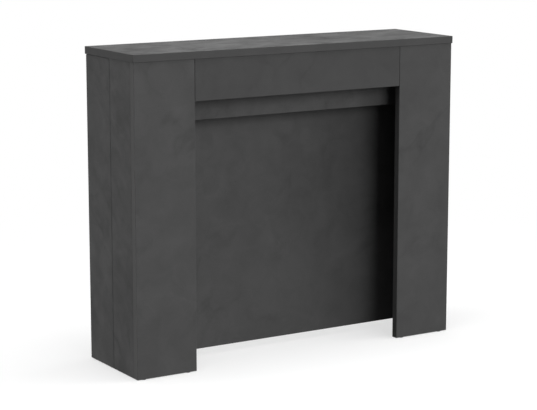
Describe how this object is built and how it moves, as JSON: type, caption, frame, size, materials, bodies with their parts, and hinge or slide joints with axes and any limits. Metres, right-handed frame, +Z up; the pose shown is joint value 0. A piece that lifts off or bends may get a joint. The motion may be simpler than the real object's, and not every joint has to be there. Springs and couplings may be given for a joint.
{
  "type": "extending console table",
  "caption": "Narrow cement-grey console table; the front legs and top pull forward on nested telescopic rails to open it into a long table.",
  "frame": {"origin": "on the floor under the middle of the top, table closed", "axes": "+X to the right along the table, +Y to the wall side, +Z up; the table opens towards -Y"},
  "size_m": [0.9, 0.246, 0.76],
  "materials": {
    "cement_board": "matte",
    "rail_aluminium": "satin",
    "zinc_steel": "satin",
    "cam_zinc": "satin",
    "dowel_wood": "matte",
    "glide_plastic": "matte",
    "packer_plastic": "matte"
  },
  "bodies": {
    "rear_frame": {"rear_side_panel_left": "cement_board", "rear_side_panel_right": "cement_board", "back_panel": "cement_board", "rear_apron": "cement_board", "rail_packers": "packer_plastic", "seam_angles": "packer_plastic", "rail_01_left": "rail_aluminium", "rail_01_right": "rail_aluminium", "rear_dowels": "dowel_wood", "rear_cam_discs": "cam_zinc", "rear_cam_bolts": "zinc_steel", "rear_screws": "zinc_steel", "rear_glides": "glide_plastic"},
    "front_frame": {"table_top": "cement_board", "front_panel_left": "cement_board", "front_panel_right": "cement_board", "front_side_panel_left": "cement_board", "front_side_panel_right": "cement_board", "front_apron": "cement_board", "cross_rail": "cement_board", "rail_11_left": "rail_aluminium", "rail_11_right": "rail_aluminium", "rail_11_stop_pins": "zinc_steel", "rail_end_brackets": "zinc_steel", "apron_joint_plates": "zinc_steel", "top_brackets": "zinc_steel", "front_dowels": "dowel_wood", "front_cam_discs": "cam_zinc", "front_cam_bolts": "zinc_steel", "front_screws": "zinc_steel", "front_glides": "glide_plastic"},
    "rail_pair_02": {"rail_02_left": "rail_aluminium", "rail_02_right": "rail_aluminium", "rail_02_stop_pins": "zinc_steel"},
    "rail_pair_03": {"rail_03_left": "rail_aluminium", "rail_03_right": "rail_aluminium", "rail_03_stop_pins": "zinc_steel"},
    "rail_pair_04": {"rail_04_left": "rail_aluminium", "rail_04_right": "rail_aluminium", "rail_04_stop_pins": "zinc_steel"},
    "rail_pair_05": {"rail_05_left": "rail_aluminium", "rail_05_right": "rail_aluminium", "rail_05_stop_pins": "zinc_steel"},
    "rail_pair_06": {"rail_06_left": "rail_aluminium", "rail_06_right": "rail_aluminium", "rail_06_stop_pins": "zinc_steel"},
    "rail_pair_07": {"rail_07_left": "rail_aluminium", "rail_07_right": "rail_aluminium", "rail_07_stop_pins": "zinc_steel"},
    "rail_pair_08": {"rail_08_left": "rail_aluminium", "rail_08_right": "rail_aluminium", "rail_08_stop_pins": "zinc_steel"},
    "rail_pair_09": {"rail_09_left": "rail_aluminium", "rail_09_right": "rail_aluminium", "rail_09_stop_pins": "zinc_steel"},
    "rail_pair_10": {"rail_10_left": "rail_aluminium", "rail_10_right": "rail_aluminium", "rail_10_stop_pins": "zinc_steel"}
  },
  "joints": [
    {"name": "front_frame_slide", "type": "slide", "parent": "rear_frame", "child": "front_frame", "axis": [0, -1, 0], "range_m": [0, 1.5]},
    {"name": "rail_pair_02_slide", "type": "slide", "parent": "rear_frame", "child": "rail_pair_02", "axis": [0, -1, 0], "range_m": [0, 0.15]},
    {"name": "rail_pair_03_slide", "type": "slide", "parent": "rear_frame", "child": "rail_pair_03", "axis": [0, -1, 0], "range_m": [0, 0.3]},
    {"name": "rail_pair_04_slide", "type": "slide", "parent": "rear_frame", "child": "rail_pair_04", "axis": [0, -1, 0], "range_m": [0, 0.45]},
    {"name": "rail_pair_05_slide", "type": "slide", "parent": "rear_frame", "child": "rail_pair_05", "axis": [0, -1, 0], "range_m": [0, 0.6]},
    {"name": "rail_pair_06_slide", "type": "slide", "parent": "rear_frame", "child": "rail_pair_06", "axis": [0, -1, 0], "range_m": [0, 0.75]},
    {"name": "rail_pair_07_slide", "type": "slide", "parent": "rear_frame", "child": "rail_pair_07", "axis": [0, -1, 0], "range_m": [0, 0.9]},
    {"name": "rail_pair_08_slide", "type": "slide", "parent": "rear_frame", "child": "rail_pair_08", "axis": [0, -1, 0], "range_m": [0, 1.05]},
    {"name": "rail_pair_09_slide", "type": "slide", "parent": "rear_frame", "child": "rail_pair_09", "axis": [0, -1, 0], "range_m": [0, 1.2]},
    {"name": "rail_pair_10_slide", "type": "slide", "parent": "rear_frame", "child": "rail_pair_10", "axis": [0, -1, 0], "range_m": [0, 1.35]}
  ],
  "couplings": [
    {"joint": "rail_pair_02_slide", "follows": "front_frame_slide", "ratio": 0.1},
    {"joint": "rail_pair_03_slide", "follows": "front_frame_slide", "ratio": 0.2},
    {"joint": "rail_pair_04_slide", "follows": "front_frame_slide", "ratio": 0.3},
    {"joint": "rail_pair_05_slide", "follows": "front_frame_slide", "ratio": 0.4},
    {"joint": "rail_pair_06_slide", "follows": "front_frame_slide", "ratio": 0.5},
    {"joint": "rail_pair_07_slide", "follows": "front_frame_slide", "ratio": 0.6},
    {"joint": "rail_pair_08_slide", "follows": "front_frame_slide", "ratio": 0.7},
    {"joint": "rail_pair_09_slide", "follows": "front_frame_slide", "ratio": 0.8},
    {"joint": "rail_pair_10_slide", "follows": "front_frame_slide", "ratio": 0.9}
  ]
}
